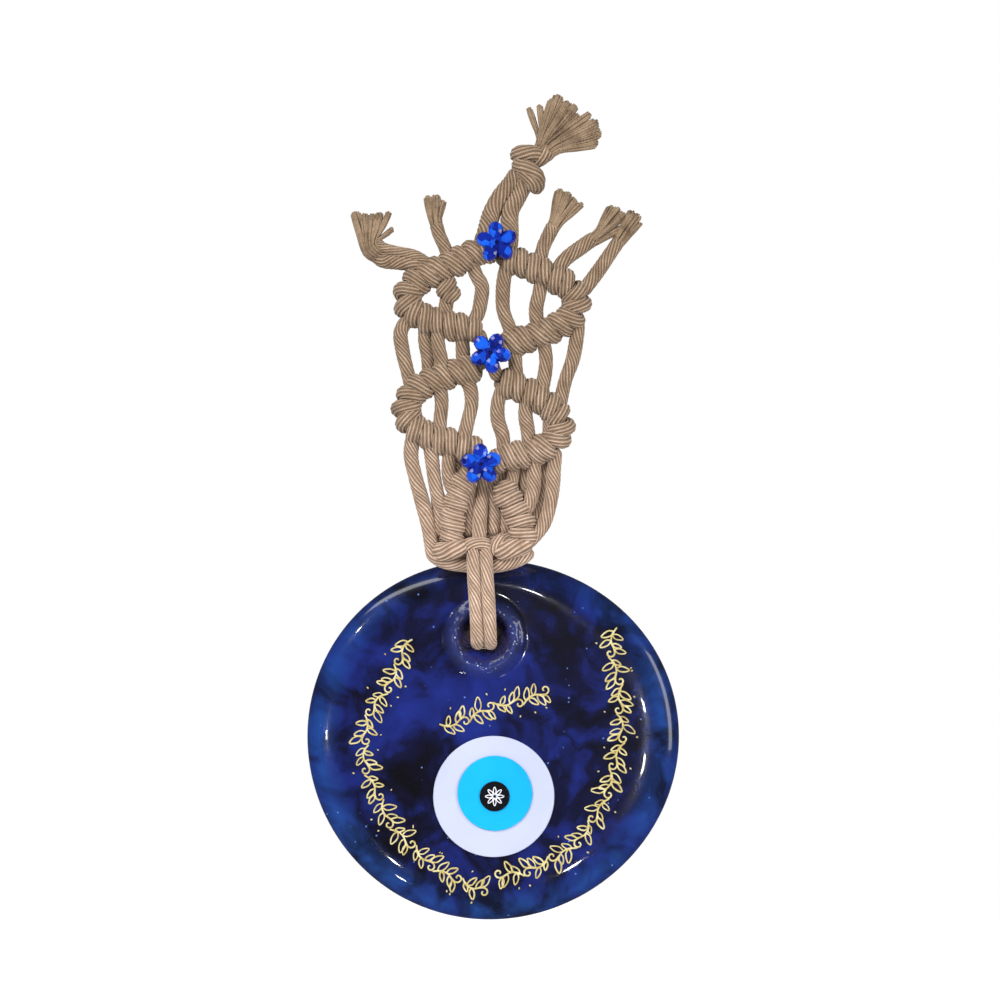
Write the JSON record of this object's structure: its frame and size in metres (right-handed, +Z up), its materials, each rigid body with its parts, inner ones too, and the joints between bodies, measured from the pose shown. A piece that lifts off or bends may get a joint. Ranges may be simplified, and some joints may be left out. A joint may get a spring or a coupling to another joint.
{
  "type": "hanging evil eye ornament",
  "caption": "Round blue glass disc with a raised concentric eye, hung by a cord loop from a knotted cord net with frayed ends, small acrylic flowers and a knotted tassel.",
  "frame": {"origin": "the slit between the two hanging cords, under the top knot, where a nail or hook goes", "axes": "+Z up along the hanging ornament, +X to the right seen from the front, -Y out of the front towards the viewer"},
  "size_m": [0.1199, 0.0261, 0.2645],
  "materials": {
    "cotton_cord": "twisted matte cotton",
    "cobalt_glass": "thick poured glass, deep blue, polished",
    "white_enamel": "glossy",
    "cyan_enamel": "glossy",
    "black_enamel": "glossy",
    "blue_acrylic": "faceted, clear and bright"
  },
  "bodies": {
    "top_cord": {"overhand_knot": "cotton_cord", "hanging_cord_left": "cotton_cord", "hanging_cord_right": "cotton_cord", "tassel": "cotton_cord"},
    "net_panel": {"hitch_row_1_left": "cotton_cord", "hitch_row_1_right": "cotton_cord", "hitch_row_2_left": "cotton_cord", "hitch_row_2_right": "cotton_cord", "hitch_row_3_left": "cotton_cord", "hitch_row_3_right": "cotton_cord", "hitch_row_4_left": "cotton_cord", "hitch_row_4_right": "cotton_cord", "gather_wrap_left": "cotton_cord", "gather_wrap_right": "cotton_cord", "gather_bight": "cotton_cord", "hitch_ladder_left": "cotton_cord", "hitch_ladder_right": "cotton_cord", "inner_cord_1_a": "cotton_cord", "inner_cord_1_b": "cotton_cord", "inner_cord_1_c": "cotton_cord", "inner_cord_1_d": "cotton_cord", "inner_cord_1_e": "cotton_cord", "side_cord_2_a": "cotton_cord", "side_cord_2_b": "cotton_cord", "side_cord_2_c": "cotton_cord", "side_cord_2_d": "cotton_cord", "side_cord_2_e": "cotton_cord", "side_cord_2_f": "cotton_cord", "side_cord_2_g": "cotton_cord", "crossing_cord_front": "cotton_cord", "crossing_cord_back": "cotton_cord", "inner_cord_3_a": "cotton_cord", "inner_cord_3_b": "cotton_cord", "inner_cord_3_c": "cotton_cord", "inner_cord_3_d": "cotton_cord", "inner_cord_3_e": "cotton_cord", "foot_cord_b": "cotton_cord", "foot_cord_c": "cotton_cord", "foot_cord_d": "cotton_cord", "foot_cord_e": "cotton_cord", "foot_cord_f": "cotton_cord", "centre_cord": "cotton_cord", "foot_cord_a": "cotton_cord", "frayed_end_a": "cotton_cord", "frayed_end_b": "cotton_cord", "frayed_end_c": "cotton_cord", "frayed_end_d": "cotton_cord", "frayed_end_e": "cotton_cord", "apex_cord_left": "cotton_cord", "apex_cord_right": "cotton_cord", "flower_top": "blue_acrylic", "flower_middle": "blue_acrylic", "flower_lower": "blue_acrylic"},
    "loop": {"loop_strand_left": "cotton_cord", "loop_strand_right": "cotton_cord", "cradle_cord": "cotton_cord"},
    "disc": {"glass_disc": "cobalt_glass", "eye_white": "white_enamel", "eye_blue": "cyan_enamel", "eye_pupil": "black_enamel"}
  },
  "joints": [
    {"name": "panel_swing", "type": "hinge", "parent": "top_cord", "child": "net_panel", "pos_m": [0, -0.001, -0.007], "axis": [1, 0, 0], "range_deg": [-45, 45]},
    {"name": "loop_swing", "type": "hinge", "parent": "net_panel", "child": "loop", "pos_m": [-0.0099, -0.0054, -0.111], "axis": [1, 0, 0], "range_deg": [-45, 45]},
    {"name": "disc_turn", "type": "hinge", "parent": "loop", "child": "disc", "pos_m": [-0.008, 0.0032, -0.1402], "axis": [0, 1, 0], "range_deg": [-20, 20]}
  ]
}
